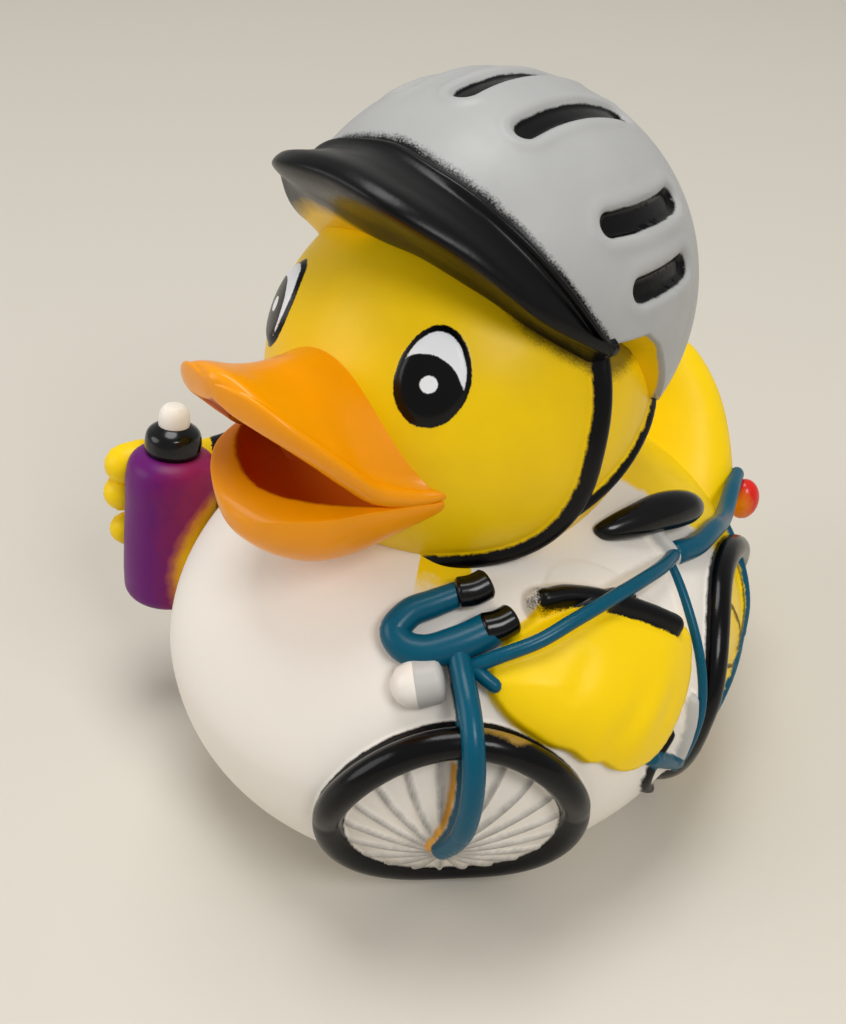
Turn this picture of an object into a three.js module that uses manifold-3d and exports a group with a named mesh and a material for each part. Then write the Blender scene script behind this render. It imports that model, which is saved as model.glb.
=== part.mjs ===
// A rubber duck dressed as a cyclist: one vinyl casting with a bicycle in relief round its left side.
// Millimetres, +Z up. The duck looks along -Y and +X is its left. The origin is the middle of its flat base.
// Azimuth is measured round the vertical from the front towards the left, latitude up from the level.
import * as THREE from "three";
import { mergeVertices } from "three/addons/utils/BufferGeometryUtils.js";
import Module from "manifold-3d";

const BODY_HALF_WIDTH = 35.8;
const BODY_FRONT = 38.4;
const BODY_REAR = 42.5;
const BODY_WAIST = 23;
const BODY_BELOW = 29.4;
const BODY_ABOVE = 26.5;
const BASE_EDGE = 1.2;

const HEAD_RADIUS = 22.9;
const HEAD_SEAT = 8.7;
const HEAD_CENTRE = new THREE.Vector3(0, -0.2, BODY_WAIST + BODY_ABOVE + HEAD_SEAT);
const HELMET_RADII = new THREE.Vector3(23.8, 25.5, 24.4);
const HELMET_RISE = 9.8;
const HELMET_CENTRE = new THREE.Vector3(0, 4.4, HEAD_CENTRE.z + HELMET_RISE);
const VISOR_REACH = 6.5;
const VENT_RADIUS = 1.6;
const STRAP_RADIUS = 1.1;

const EYE_AZIMUTH = 36;
const EYE_LATITUDE = 28;
const EYE_HALF_HEIGHT = 5.4;
const EYE_HALF_WIDTH = 4;

const WHEEL_AZIMUTH = { front: 45, rear: 128.5 };
const WHEEL_HEIGHT = 17.4;
const WHEEL_RADIUS = { front: 14.4, rear: 15.2 };
const TYRE_RADIUS = 1.8;
const SPOKES = { front: 10, rear: 4 };
const FRAME_TUBE_RADIUS = 0.85;
const FORK_RADIUS = 1.5;
const BAR_RADIUS = 1.75;

const BOTTLE_RADIUS = 6.2;
const BOTTLE_HEIGHT = 23.5;
const BOTTLE_FOOT = new THREE.Vector3(-35, -22.5, 16);
const BOTTLE_LEAN = 9.6;

const wasm = await Module();
wasm.setup();

const vec = (x, y, z) => new THREE.Vector3(x, y, z);
const sine = (degrees) => Math.sin(THREE.MathUtils.degToRad(degrees));
const cosine = (degrees) => Math.cos(THREE.MathUtils.degToRad(degrees));
const direction = (azimuth, latitude) =>
  vec(sine(azimuth) * cosine(latitude), -cosine(azimuth) * cosine(latitude), sine(latitude));

// Straight-line reading of a list of [at, value] pairs.
function read(pairs, at) {
  const next = pairs.findIndex(([key]) => key >= at);
  if (next < 0) return pairs[pairs.length - 1][1];
  if (next === 0) return pairs[0][1];
  const [[k0, v0], [k1, v1]] = pairs.slice(next - 1, next + 1);
  return v0 + ((v1 - v0) * (at - k0)) / (k1 - k0);
}

function solid(geometry) {
  geometry.deleteAttribute("normal");
  geometry.deleteAttribute("uv");
  const merged = mergeVertices(geometry, 1e-4);
  const vertProperties = Float32Array.from(merged.attributes.position.array);
  const build = (triVerts) => new wasm.Manifold(new wasm.Mesh({ numProp: 3, vertProperties, triVerts }));
  const shape = build(Uint32Array.from(merged.index.array));
  return shape.volume() > 0 ? shape : build(Uint32Array.from(merged.index.array).reverse());
}

const join = (shapes) => shapes.reduce((whole, shape) => whole.add(shape));

// A closed skin over rings of points with the same count, its ends closed by fans.
function loft(rings) {
  const around = rings[0].length;
  const points = rings.flat();
  const faces = [];
  for (let start = 0; start + around < points.length; start += around) {
    for (let i = 0; i < around; i++) {
      const a = start + i;
      const b = start + ((i + 1) % around);
      faces.push(a, b, a + around, b, b + around, a + around);
    }
  }
  const middle = (ring) => ring.reduce((sum, p) => sum.add(p), vec(0, 0, 0)).divideScalar(around);
  const last = points.length - around;
  points.push(middle(rings[0]), middle(rings[rings.length - 1]));
  for (let i = 0; i < around; i++) {
    const j = (i + 1) % around;
    faces.push(points.length - 2, j, i, points.length - 1, last + i, last + j);
  }
  const geometry = new THREE.BufferGeometry().setFromPoints(points);
  geometry.setIndex(faces);
  return solid(geometry);
}

const turn = (count, pointAt) => Array.from({ length: count }, (_, i) => pointAt((360 * i) / count));

// A round bar along a smooth line through the points.
function strand(points, radius, steps, sides = 6) {
  const round = turn(sides, (t) => new THREE.Vector2(radius * cosine(t), radius * sine(t)));
  const outline = new THREE.Shape(round);
  const path = new THREE.CatmullRomCurve3(points);
  return solid(new THREE.ExtrudeGeometry(outline, { steps, extrudePath: path, bevelEnabled: false }));
}

// A bar through the points with rounded ends.
function capsule(points, radius, sides = 6) {
  const last = points.length - 1;
  const heading = (k) => points[Math.min(k + 1, last)].clone().sub(points[Math.max(k - 1, 0)]).normalize();
  const ring = (k, size, ahead) => {
    const across = heading(k).cross(vec(0, 0, 1)).normalize();
    const upward = across.clone().cross(heading(k));
    const centre = points[k].clone().addScaledVector(heading(k), ahead * radius);
    const reach = size * radius;
    return turn(sides, (t) =>
      centre.clone().addScaledVector(across, reach * cosine(t)).addScaledVector(upward, reach * sine(t)),
    );
  };
  return loft([ring(0, 0.5, -0.87), ...points.map((_, k) => ring(k, 1, 0)), ring(last, 0.5, 0.87)]);
}

function loop(points, radius, steps, sides = 6) {
  return solid(new THREE.TubeGeometry(new THREE.CatmullRomCurve3(points, true), steps, radius, sides, true));
}

function ball(centre, radii, around = 16, rows = 10) {
  const geometry = new THREE.SphereGeometry(1, around, rows);
  geometry.rotateX(Math.PI / 2);
  geometry.scale(radii.x, radii.y, radii.z);
  return solid(geometry.translate(centre.x, centre.y, centre.z));
}

function bodyRadius(azimuth, z) {
  const length = Math.abs(azimuth) % 360 < 90 || Math.abs(azimuth) % 360 > 270 ? BODY_FRONT : BODY_REAR;
  const plan = 1 / Math.hypot(sine(azimuth) / BODY_HALF_WIDTH, cosine(azimuth) / length);
  const [reach, power] = z < BODY_WAIST ? [BODY_BELOW, 2.05] : [BODY_ABOVE, 1.75];
  return plan * Math.max(0, 1 - (Math.abs(z - BODY_WAIST) / reach) ** power) ** (1 / power);
}

// A point on the body, or lifted off it along its outward normal.
function onBody(azimuth, z, lift = 0) {
  const at = (a, h) => vec(sine(a) * bodyRadius(a, h), -cosine(a) * bodyRadius(a, h), h);
  const along = at(azimuth + 0.5, z).sub(at(azimuth - 0.5, z));
  const upward = at(azimuth, z + 0.3).sub(at(azimuth, z - 0.3));
  return at(azimuth, z).addScaledVector(along.cross(upward).normalize(), lift);
}

const onHead = (azimuth, latitude, lift = 0) =>
  direction(azimuth, latitude).multiplyScalar(HEAD_RADIUS + lift).add(HEAD_CENTRE);

const onHelmet = (azimuth, latitude, lift = 0) =>
  direction(azimuth, latitude).multiply(HELMET_RADII.clone().addScalar(lift)).add(HELMET_CENTRE);

// A cushion on a surface: a closed outline of [a, b] there, lifted most in the middle and buried at its edge.
function pad(surface, outline, lift, edge = 0.45) {
  const count = outline.length;
  const a0 = outline.reduce((sum, [a]) => sum + a, 0) / count;
  const b0 = outline.reduce((sum, [, b]) => sum + b, 0) / count;
  const ring = (scale, height) =>
    outline.map(([a, b]) => surface(a0 + (a - a0) * scale, b0 + (b - b0) * scale, height));
  const steps = [[1, -1.5], [1, edge * lift], [0.9, 0.85 * lift], [0.5, lift]];
  return loft(steps.map(([scale, height]) => ring(scale, height)));
}

function body() {
  const heights = [0, BASE_EDGE, 4, 8, 12.5, 17, 22, 27, 31, 35, 38.5, 42, 45.5];
  return loft(
    heights.map((z) =>
      turn(40, (t) => {
        const azimuth = t > 180 ? t - 360 : t;
        const r = z > 0 ? bodyRadius(azimuth, z) : bodyRadius(azimuth, 0.4) - BASE_EDGE;
        return vec(sine(t) * r, -cosine(t) * r, z);
      }),
    ),
  );
}

function tail() {
  const sections = [
    [18, 30, 20, 14], [25, 34.5, 18.5, 12], [31, 39, 15.3, 9.5], [36, 42, 12, 7.2],
    [40, 43.8, 8.8, 5.4], [43.5, 44.8, 5.2, 3.6], [46, 45.2, 1.4, 1.1],
  ];
  const ring = ([z, y, across, deep]) => turn(16, (t) => vec(across * sine(t), y - deep * cosine(t), z));
  return loft(sections.map(ring));
}

function head() {
  return ball(HEAD_CENTRE, vec(HEAD_RADIUS, HEAD_RADIUS, HEAD_RADIUS), 32, 16);
}

function eye(side) {
  const outline = turn(11, (t) => [
    side * (EYE_AZIMUTH + (EYE_HALF_WIDTH / HEAD_RADIUS / cosine(EYE_LATITUDE)) * 57.3 * cosine(t)),
    EYE_LATITUDE + (EYE_HALF_HEIGHT / HEAD_RADIUS) * 57.3 * sine(t),
  ]);
  return pad(onHead, outline, 0.5, 0.5);
}

// One half of the beak, from sections of [y, half-width, height of its side edges, top, bottom].
// The heights are from the middle of the head.
function bill(sections) {
  return loft(
    sections.map(([y, across, edge, top, bottom]) =>
      turn(16, (t) => {
        const rise = sine(t) > 0 ? top - edge : bottom - edge;
        return vec(across * cosine(t), y, HEAD_CENTRE.z + edge + Math.abs(sine(t)) * rise);
      }),
    ),
  );
}

function beak() {
  const upper = bill([
    [-10, 15.2, -2.8, 7.8, -3.2], [-17, 15, -2.8, 9.4, -3.2], [-20, 13.9, -2.6, 10.4, -3.4],
    [-24, 12.6, -0.9, 11, -1.2], [-27.5, 12, 2.3, 11.4, 3], [-30.5, 10.9, 5.6, 12.1, 6.2],
    [-32.7, 9, 8.3, 13, 8.8], [-34.1, 6.4, 10.2, 13.6, 10.4], [-34.9, 3.2, 11.4, 13.8, 11.5],
  ]);
  const lower = bill([
    [-10, 14.8, -2.8, -2.6, -6.2], [-17, 14.8, -2.8, -2.6, -8.2], [-21, 13.3, -2.6, -2.4, -10.4],
    [-25, 12, -2.2, -2, -11.6], [-28.5, 10.3, -2.2, -2, -11.2], [-31.3, 7.6, -2.6, -2.3, -9.6],
    [-33.2, 4.4, -3.4, -3, -7.6], [-34, 1.6, -4.6, -4.2, -6.2],
  ]);
  return upper.add(lower);
}

function mouthHollow() {
  return ball(vec(0, -23.5, HEAD_CENTRE.z - 0.7), vec(10.8, 8, 6.5), 14, 8);
}

function helmet() {
  const edge = [
    [0, 49], [25, 45], [41, 39], [54, 30], [64, 19], [74, 7.5], [90, 6], [95, 1], [106, -21], [112, -26],
    [140, -32], [180, -34],
  ];
  const rim = (t) => read(edge, t > 180 ? 360 - t : t);
  const ring = (part, lift) => turn(40, (t) => onHelmet(t, 90 - part * (90 - rim(t)), lift));
  const dome = [0.08, 0.25, 0.42, 0.6, 0.78, 0.95].map((part) => ring(part, 0));
  const inside = ring(1, 0).map((p) => p.lerp(HEAD_CENTRE, 0.45));
  return loft([...dome, ring(1, -0.5), inside]);
}

// The peak: a wedge from the crease on the shell, out to its free edge and back under to the forehead.
function visor() {
  const crease = [[0, 55], [25, 51], [41, 45], [54, 36], [64, 25], [76, 7]];
  const free = [[0, 40.7], [20, 37.8], [40, 30.8], [60, 16], [78, 4]];
  const reach = [[0, 1], [20, 0.97], [40, 0.55], [60, 0.12], [78, 0.04]];
  const brow = [[0, 62], [27, 60], [54, 50], [71, 38], [92, 22]];
  const sections = [];
  for (let a = -78; a <= 78; a += 12) {
    const at = (table) => read(table, Math.abs(a));
    const out = VISOR_REACH * at(reach);
    const under = onHead(1.18 * a, read(brow, Math.abs(1.18 * a)), -0.6);
    const lip = onHelmet(a, at(free) - 1.5, out - 1.5);
    sections.push([
      onHelmet(a, at(crease), -1.5),
      onHelmet(a, at(crease), 0.2),
      onHelmet(a, 0.5 * (at(crease) + at(free)), 0.5 * out + 0.9),
      onHelmet(a, at(free) + 2.5, out + 0.1),
      onHelmet(a, at(free), out),
      lip,
      lip.clone().lerp(under, 0.6),
      under,
    ]);
  }
  return loft(sections);
}

function ventSlots() {
  const between = ([a0, b0], [a1, b1], k) => onHelmet(a0 + (a1 - a0) * k, b0 + (b1 - b0) * k);
  const round = (from, to) => capsule([0, 0.5, 1].map((k) => between(from, to, k)), VENT_RADIUS);
  const crown = (x, y) => {
    const rest = 1 - (x / HELMET_RADII.x) ** 2 - ((y - HELMET_CENTRE.y) / HELMET_RADII.y) ** 2;
    return vec(x, y, HELMET_CENTRE.z + HELMET_RADII.z * Math.sqrt(rest));
  };
  const overTop = (x) => capsule([0, 7, 15].map((y) => crown(x, y)), VENT_RADIUS);
  const pair = (s) => [round([s * 84, 36], [s * 118, 33]), round([s * 89, 18], [s * 110, 17])];
  const sides = [-1, 1].flatMap(pair);
  return join([...sides, overTop(-8.8), overTop(0), overTop(8.8)]);
}

function straps(side) {
  const on = (pairs) => pairs.map(([azimuth, latitude]) => onHead(side * azimuth, latitude, 0.1));
  const jaw = [
    [91, 30], [88, 16], [84.5, 2], [81, -15], [74, -27], [64, -33], [52, -35.5], [42, -37], [34, -39],
  ];
  const front = strand(on(jaw), STRAP_RADIUS, 12, 4);
  const rear = strand(on([[126, 3], [121, -4], [108, -9], [97, -14], [82, -20]]), 0.8, 6, 4);
  return front.add(rear);
}

function leftArm() {
  const wing = [
    [51.5, 36], [54, 33.6], [58, 31.6], [62, 29.8], [66, 28.6], [69, 26.8], [72, 26.2], [75.5, 24.2],
    [79.5, 23.4], [83.5, 23.6], [87, 24.6], [90.5, 26.2], [94.5, 28.2], [98.5, 30.6], [101.5, 33.2], [99, 37],
    [94, 40.5], [86, 42.5], [76, 42.8], [66, 41.6], [57, 39.6],
  ];
  const cuff = [[67.5, 40.9], [74, 40.6], [82, 39.5], [89, 37.8], [93.5, 36.3], [97, 34.8]];
  const trim = strand(cuff.map(([a, z]) => onBody(a, z, 2.3)), 1.4, 9);
  return pad(onBody, wing, 3, 0.5).add(trim);
}

function rightArm() {
  const path = [
    [-17, 4, 35, 8.4], [-24, 0, 35, 8.4], [-29.5, -5.5, 34.4, 7.8],
    [-33.5, -10.5, 33.4, 7], [-37, -15, 32.2, 6], [-40, -18.5, 31.6, 3.6],
  ];
  const centres = path.map(([x, y, z]) => vec(x, y, z));
  const rings = path.map(([, , , r], k) => {
    const heading = centres[Math.min(k + 1, 5)].clone().sub(centres[Math.max(k - 1, 0)]).normalize();
    const across = heading.clone().cross(vec(0, 0, 1)).normalize();
    const upward = across.clone().cross(heading);
    return turn(12, (t) =>
      centres[k].clone().addScaledVector(across, 0.62 * r * cosine(t)).addScaledVector(upward, r * sine(t)),
    );
  });
  const cuff = loop(rings[2], 1.2, 12, 5);
  const tips = [[-41.4, -21, 36.4, 3.3], [-41.6, -21.8, 31.2, 2.7], [-41, -22.6, 26.6, 2.3]];
  const fingers = tips.map(([x, y, z, r]) => ball(vec(x, y, z), vec(r, r, r), 8, 5));
  return join([loft(rings), cuff, ...fingers]);
}

function bottle() {
  const top = BOTTLE_HEIGHT;
  const profile = [
    [0, 0], [4.6, 0], [5.8, 1.2], [BOTTLE_RADIUS, 3.5], [BOTTLE_RADIUS, top - 3], [5.5, top - 0.9],
    [3.9, top], [4.2, top + 1.2], [3.9, top + 2.8], [2.4, top + 3.8], [2.4, top + 5.2], [1.7, top + 6.5],
    [0, top + 7],
  ];
  const geometry = new THREE.LatheGeometry(profile.map(([r, h]) => new THREE.Vector2(r, h)), 15);
  geometry.rotateX(Math.PI / 2 - THREE.MathUtils.degToRad(BOTTLE_LEAN));
  return solid(geometry.translate(BOTTLE_FOOT.x, BOTTLE_FOOT.y, BOTTLE_FOOT.z));
}

// A point of a wheel: at an angle round it and a distance from its middle, lying on the body.
function onWheel(azimuth, angle, distance, lift) {
  const girth = bodyRadius(azimuth, WHEEL_HEIGHT);
  const z = Math.max(2.2, WHEEL_HEIGHT + distance * sine(angle));
  return onBody(azimuth + ((distance * cosine(angle)) / girth) * 57.3, z, lift);
}

function wheel(end, hubDrop) {
  const azimuth = WHEEL_AZIMUTH[end];
  const tyre = loop(turn(28, (t) => onWheel(azimuth, t, WHEEL_RADIUS[end], 0.2)), TYRE_RADIUS, 22, 5);
  const hub = onWheel(azimuth, 270, hubDrop, 0);
  const flat = (p) => [Math.atan2(p.x, -p.y) * 57.3, p.z];
  const spokes = Array.from({ length: SPOKES[end] }, (_, k) => {
    const rim = onWheel(azimuth, (360 * (k + 0.5)) / SPOKES[end], WHEEL_RADIUS[end] - 1.4, 0);
    const [[a0, z0], [a1, z1]] = [flat(hub), flat(rim)];
    const from = 2.6 / hub.distanceTo(rim);
    const along = [from, 0.5 + from / 2, 1].map((s) => onBody(a0 + (a1 - a0) * s, z0 + (z1 - z0) * s, 0));
    return strand(along, 0.5, 2, 3);
  });
  return join([tyre, ...spokes]);
}

function frame() {
  const on = (pairs, lift) => pairs.map(([azimuth, z]) => onBody(azimuth, z, lift));
  const forkLine = [[44.4, 39.5], [46, 36.5], [47.8, 33], [48.6, 29], [48, 24], [46, 20], [43.2, 17]];
  const fork = strand(on(forkLine, 0.9), FORK_RADIUS, 7, 5);
  const topLine = [
    [48, 37.3, 1.5], [54, 37.6, 2.6], [62, 37.9, 3.3], [71, 38.2, 3.6],
    [82, 38.6, 3.6], [94, 38.7, 3.2], [104, 38.7, 2.2], [114, 38.4, 0.8],
  ];
  const topTube = strand(topLine.map(([a, z, lift]) => onBody(a, z, lift)), FRAME_TUBE_RADIUS, 10, 5);
  const downTube = strand(on([[48, 37.2], [50, 36.5], [52.2, 35.7]], 1.1), FRAME_TUBE_RADIUS, 2);
  const seatLine = [[111.5, 38.6], [105.2, 34], [101.6, 29.5], [99.2, 24.5], [97.4, 19], [96.8, 14.6]];
  const seatTube = strand(on(seatLine, 0.4), 0.75, 7, 4);
  const bracket = strand(on([[85, 22.2], [91, 18.8], [98.5, 14.8]], 0.3), 1.2, 3);
  const chainStay = strand(on([[97, 15.4], [106, 16.4], [118, 19], [131, 20.5]], 0.4), 0.7, 5, 4);
  const seatStay = strand(on([[131, 20.5], [137, 27], [144, 32]], 0.5), 0.7, 3, 4);
  return join([fork, topTube, downTube, seatTube, bracket, chainStay, seatStay]);
}

function handlebar() {
  const on = (pairs, lift) => pairs.map(([azimuth, z]) => onBody(azimuth, z, lift));
  const bend = [
    [52, 39.7], [44, 38.9], [37.5, 38.4], [32.4, 38.8], [30.4, 39.7], [32.6, 40.8], [38.5, 41.6], [45, 42.2],
  ];
  const bar = strand(on(bend, 1.2), BAR_RADIUS, 12, 5);
  const ends = [[[51, 39.8], [57.8, 40.2]], [[44, 42.1], [52.6, 42.6]]];
  const grips = ends.map(([from, to]) => {
    const middle = onBody((from[0] + to[0]) / 2, (from[1] + to[1]) / 2, 1.8);
    return strand([onBody(...from, 1.6), middle, onBody(...to, 1.6)], 1.85, 2, 6);
  });
  return join([bar, ...grips]);
}

function headlamp() {
  const shell = strand([onBody(42, 36.2, 0.8), onBody(39, 36, 1), onBody(36.2, 35.7, 1)], 2.8, 1, 9);
  return shell.add(ball(onBody(36, 35.7, 1), vec(2.9, 2.9, 2.9), 9, 7));
}

function saddleAndRack() {
  const spine = [
    [99, 43.2, 0.4, 1], [106, 42.6, 1.2, 1.9], [114, 41.8, 2, 2.5], [121, 40.9, 2.5, 3],
    [127, 40, 2.7, 3.1], [131.5, 39.2, 2.6, 2.5], [134, 38.8, 2.4, 1.2],
  ];
  const rings = spine.map(([a, z, lift, r]) => {
    const outward = onBody(a, z, 1).sub(onBody(a, z, 0));
    const upward = onBody(a, z + 0.5, 0).sub(onBody(a, z, 0)).normalize();
    const middle = onBody(a, z, lift);
    return turn(10, (t) =>
      middle.clone().addScaledVector(upward, r * cosine(t)).addScaledVector(outward, 0.8 * r * sine(t)),
    );
  });
  const post = strand([onBody(116, 41, 0.6), onBody(115, 39.7, 0.6), onBody(114, 38.2, 0.6)], 1.1, 2);
  const overTail = [vec(20.5, 31, 32.2), vec(16.8, 38.5, 31.6), vec(14.6, 43, 30.8)];
  const overWheel = [onBody(116, 38.2, 0.6), onBody(123, 37, 1), onBody(133, 35.6, 1.2)];
  const rack = strand([...overWheel, ...overTail], 1.5, 8);
  const lamp = ball(vec(16.2, 43.2, 27.2), vec(2.6, 2.8, 3.5), 9, 6);
  return join([loft(rings), post, rack, lamp]);
}

function chainSet() {
  const teeth = [[90, 23.8], [86.5, 21.4], [85.5, 18.5], [87, 15.6], [90, 13.6]];
  const ring = strand(teeth.map(([a, z]) => onBody(a, z, 0.2)), 0.8, 5, 4);
  const crank = strand([onBody(97, 26, 0.5), onBody(95.8, 21.6, 0.5), onBody(95, 17.4, 0.5)], 1, 2, 5);
  return ring.add(crank);
}

function duck() {
  const face = join([head(), beak(), eye(1), eye(-1)]).subtract(mouthHollow());
  const hat = helmet().subtract(ventSlots()).add(visor());
  const bicycle = join([
    wheel("front", 4), wheel("rear", 0), frame(), handlebar(), headlamp(), saddleAndRack(), chainSet(),
  ]);
  const figure = join([body(), tail(), face, hat, straps(1), straps(-1), leftArm(), rightArm(), bottle()]);
  return figure.add(bicycle);
}

function mesh(shape, name, colour) {
  const { vertProperties, triVerts } = shape.getMesh();
  const geometry = new THREE.BufferGeometry();
  geometry.setAttribute("position", new THREE.BufferAttribute(Float32Array.from(vertProperties), 3));
  geometry.setIndex([...triVerts]);
  geometry.computeVertexNormals();
  const part = new THREE.Mesh(geometry, new THREE.MeshStandardMaterial({ color: colour, roughness: 0.4 }));
  part.name = name;
  return part;
}

const part = new THREE.Group();
part.name = "rubber_duck";
part.add(mesh(duck(), "duck", 0xf2c21a));
export default part;
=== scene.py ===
"""A painted vinyl duck dressed as a cyclist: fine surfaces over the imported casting, in the casting's frame.

Lengths are in millimetres until a piece is made. Azimuth, in degrees, runs from the front (-Y) towards the
duck's left (+X); latitude rises from the level of the head's or helmet's centre.
"""

import bmesh
import bpy
import numpy as np
from mathutils import Matrix


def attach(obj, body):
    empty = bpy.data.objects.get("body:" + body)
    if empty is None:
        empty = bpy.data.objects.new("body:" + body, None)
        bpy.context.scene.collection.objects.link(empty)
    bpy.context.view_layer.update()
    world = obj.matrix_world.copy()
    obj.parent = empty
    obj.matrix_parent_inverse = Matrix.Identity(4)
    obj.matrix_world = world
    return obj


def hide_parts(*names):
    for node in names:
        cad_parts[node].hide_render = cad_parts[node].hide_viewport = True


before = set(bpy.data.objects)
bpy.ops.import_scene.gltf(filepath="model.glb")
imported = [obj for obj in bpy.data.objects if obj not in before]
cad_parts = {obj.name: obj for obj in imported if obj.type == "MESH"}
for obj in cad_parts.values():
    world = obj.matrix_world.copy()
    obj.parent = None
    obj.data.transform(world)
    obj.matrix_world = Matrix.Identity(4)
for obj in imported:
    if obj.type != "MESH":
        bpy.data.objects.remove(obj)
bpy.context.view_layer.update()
MM = 0.001
FAR = 1e9

BODY_HALF_WIDTH = 35.8
BODY_FRONT = 38.4
BODY_REAR = 42.5
BODY_WAIST = 23
BODY_BELOW = (29.4, 2.05)
BODY_ABOVE = (26.5, 1.75)
BODY_TOP = 48
BODY_DEGREE = 0.62
BASE_EDGE = 1.2

HEAD_RADIUS = 22.9
HEAD_CENTRE = np.array([0, -0.2, 58.2])
HEAD_DEGREE = 0.4
SPRAY_DROP = 3
SPRAY_AZIMUTH = 66
HELMET_RADII = np.array([23.8, 25.5, 24.4])
HELMET_CENTRE = np.array([0, 4.4, 68])
HELMET_DEGREE = 0.42
VISOR_REACH = 6.5
PEAK_FAR_RISE = 4
PEAK_FAR_AZIMUTH = -48
PEAK_FAR_SPREAD = 16
BROW_TURN = 1.18
VENT_RADIUS = 1.6
VENT_DEPTH = {"top": 0.7, "side": 1.0}
VENT_EDGE = {"top": 0.22, "side": 0.12}
HELMET_TOP_LATITUDE = 55
TOP_VENT_SPACING = 8.8
STRAP_RADIUS = 1.3
REAR_STRAP_RADIUS = 0.8

EYE_AZIMUTH = 36.7
EYE_LATITUDE = 28
EYE_HALF = (4, 5.4)
EYE_LEAN = 0.1
EYE_MEAN_HALF = 4.4
EYE_CUSHION = 0.5
EYE_SLOPE = 1.2
EYE_RIM = 0.65
IRIS_PLACE = (-0.9, -1.75)
IRIS_RADIUS = 4.0
GLINT_PLACE = (-0.3, -0.8)
GLINT_RADIUS = 0.9

WHEEL_AZIMUTH = {"front": 45, "rear": 125.8}
WHEEL_HEIGHT = 17.4
WHEEL_RADIUS = {"front": 14.4, "rear": 15.8}
TYRE_RADIUS = {"front": 1.8, "rear": 1.75}
TYRE_LIFT = {"front": (0.2, 0.5, 3.2), "rear": (0.1, 0.2, 0.6)}
WHEEL_SQUASH = 0.98
TOP_TUBE_RADIUS = 0.85
FORK_RADIUS = 1.3
STUB_RADIUS = 0.85
SEAT_TUBE_RADIUS = 0.6
SEAT_TUBE_BED = 0.9
SPOKE_RADIUS = 0.42
SPOKE_COUNT = {"front": 20, "rear": 9}
SPOKE_HUB = {"front": np.array([42.8, 15.2]), "rear": np.array([127, 17.4])}
SPOKE_END = 2.2
SPOKE_PAINT = 0.3
CHAIN_RADIUS = 0.8
CRANK_RADIUS = 1.0
SEAT_POST_RADIUS = 1.1
CUFF_RADIUS = 1.4
CUFF_LIFT = 2.0
CUFF_START = 66
WING_CROWN = 3.0
WING_BRINK = 1.5
WING_SLOPE = 7
GROOVE_DEPTH = 0.3
GROOVE_WIDTH = 1.4
SHOULDER_CROWN = 1.2

ARM_FLATNESS = 0.62
ARM_HEADING = np.array([-0.66, -0.75, 0])
ARM_CUFF_HALF = 1.5

BOTTLE_RADIUS = 6.2
BOTTLE_HEIGHT = 22.6
BOTTLE_FOOT = np.array([-35, -22.4, 16.9])
BOTTLE_LEAN = 9.6

SADDLE_FLATNESS = 0.8
RACK_RADII = (1.5, 1.05)
REAR_LAMP_PLACE = np.array([16.2, 43.2, 27.2])
REAR_LAMP_RADII = np.array([2.2, 2.4, 3.1])
GLOW_HEADING = np.array([-0.17, 0.97, 0.14])

MOUTH_CENTRE = np.array([0, -23.5, 57.5])
MOUTH_RADII = np.array([10.8, 8, 6.5])
MOUTH_SPREAD = 1.15
MOUTH_LEVEL = 57
LIP_START = 0.94
HOLLOW_DEPTH = 0.62
HOLLOW_FRONT = -30.4
HOLLOW_MIDDLE = -21

GRIP_RADIUS = 1.8
GRIP_LIFT = 1.7
BAR_RADII = (2.1, 1.5)
BAR_LIFT = 1.2
HEADLAMP_RADII = (2.6, 2.85)
HEADLAMP_LIFT = 1.0
LENS_RADIUS = 2.8

VINYL_SPECULAR = 0.22
COAT_ROUGHNESS = 0.12
BLOTCH_SCALE = 160
WANDER_SCALE = 700
SPECK_SCALE = 4600
PEEL_SCALE = 900
PEEL_DEPTH = 0.0002
PEEL_STRENGTH = 0.12

ROOM_COLOUR = (1.0, 0.985, 0.96, 1.0)
ROOM_STRENGTH = 0.38
LAMP_AIM = (0, 0, 0.04)

CAMERA_PLACE = (96.73, -101.42, 136.78)
CAMERA_RIGHT = (0.7001, 0.7140, 0.0062)
CAMERA_UP = (-0.4157, 0.4005, 0.8166)
CAMERA_BACK = (0.5806, -0.5742, 0.5772)
CAMERA_LENS = 47.02


def srgb(red, green, blue):
    """A colour as seen on a screen, 0 to 255, as the linear colour a shader takes."""
    share = np.array([red, green, blue]) / 255
    return tuple(np.where(share < 0.04045, share / 12.92, ((share + 0.055) / 1.055) ** 2.4)) + (1.0,)


YELLOW = srgb(244, 202, 0)
BRIGHT_YELLOW = srgb(248, 208, 0)
ORANGE = srgb(242, 152, 0)
MOUTH_BROWN = srgb(250, 128, 22)
# The mouth's brown darkened for the underside of the upper bill: the mouth colour with painted shade in the
# roof of the mouth.
ROOF_SHADE_BROWN = srgb(190, 84, 16)
WHITE = srgb(236, 229, 219)
EYE_WHITE = srgb(232, 234, 238)
GREY = srgb(172, 172, 170)
BLACK = srgb(5, 5, 6)
BLUE = srgb(0, 80, 104)
PURPLE = srgb(102, 16, 106)
MAGENTA = srgb(152, 30, 78)
RED = srgb(220, 34, 24)
LAMP_GREY = srgb(186, 184, 180)
SPOKE_GREY = srgb(128, 124, 120)
GOLD = srgb(150, 118, 52)
BARE_STRIP = srgb(228, 164, 60)
FLOOR_BEIGE = srgb(208, 202, 190)


def sine(degrees):
    return np.sin(np.radians(degrees))


def cosine(degrees):
    return np.cos(np.radians(degrees))


def read(pairs, at):
    """Straight-line reading of a list of (at, value) pairs."""
    keys, values = np.array(pairs, float).T
    return np.interp(at, keys, values)


def ease(pairs, at):
    """Smooth reading of (at, value) pairs that are the same on both sides of zero."""
    both = [(-key, value) for key, value in pairs[:0:-1]] + list(pairs)
    return read(smooth(both, 400), at)


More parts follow.
